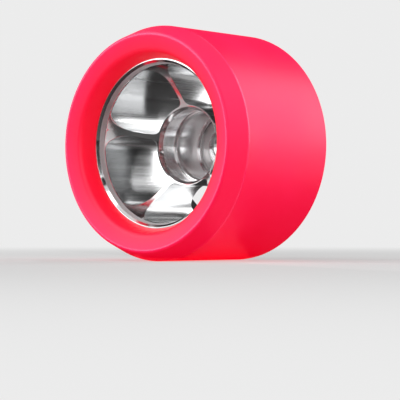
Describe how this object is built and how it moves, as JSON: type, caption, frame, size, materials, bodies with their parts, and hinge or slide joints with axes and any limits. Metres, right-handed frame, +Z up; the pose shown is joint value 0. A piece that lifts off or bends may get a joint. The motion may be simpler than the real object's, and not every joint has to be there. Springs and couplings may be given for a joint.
{
  "type": "roller skate wheel",
  "caption": "Wide quad skate wheel: bevelled urethane tyre on a dished, spoked aluminium hub, turning on a ball bearing in the rear seat.",
  "frame": {"origin": "the wheel's centre, on the axle line and halfway between the front crest and the rear face", "axes": "+Y along the axle from the dished front to the flat rear, +Z up, the wheel spins about Y"},
  "size_m": [0.07, 0.044, 0.07],
  "materials": {
    "urethane": "satin neon pink-red cast urethane",
    "machined_aluminium": "bright machined, fine tool lines",
    "race_steel": "ground bearing steel",
    "ball_steel": "polished",
    "cage_steel": "pressed sheet",
    "seal_rubber": "matt black moulded rubber",
    "shield_steel": "pressed, plated sheet"
  },
  "bodies": {
    "axle_ring": {"inner_race": "race_steel"},
    "wheel": {"tyre": "urethane", "hub": "machined_aluminium", "outer_race": "race_steel", "rubber_seal": "seal_rubber", "steel_shield": "shield_steel", "snap_ring": "shield_steel"},
    "ball_cage": {"ball_1": "ball_steel", "ball_2": "ball_steel", "ball_3": "ball_steel", "ball_4": "ball_steel", "ball_5": "ball_steel", "ball_6": "ball_steel", "ball_7": "ball_steel", "cage_front_half": "cage_steel", "cage_rear_half": "cage_steel", "cage_rivets": "cage_steel"}
  },
  "joints": [
    {"name": "wheel_spin", "type": "hinge", "parent": "axle_ring", "child": "wheel", "pos_m": [0, 0.0185, 0], "axis": [0, 1, 0], "continuous": true},
    {"name": "cage_orbit", "type": "hinge", "parent": "axle_ring", "child": "ball_cage", "pos_m": [0, 0.0185, 0], "axis": [0, 1, 0], "continuous": true}
  ],
  "couplings": [
    {"joint": "cage_orbit", "follows": "wheel_spin", "ratio": 0.6323}
  ]
}
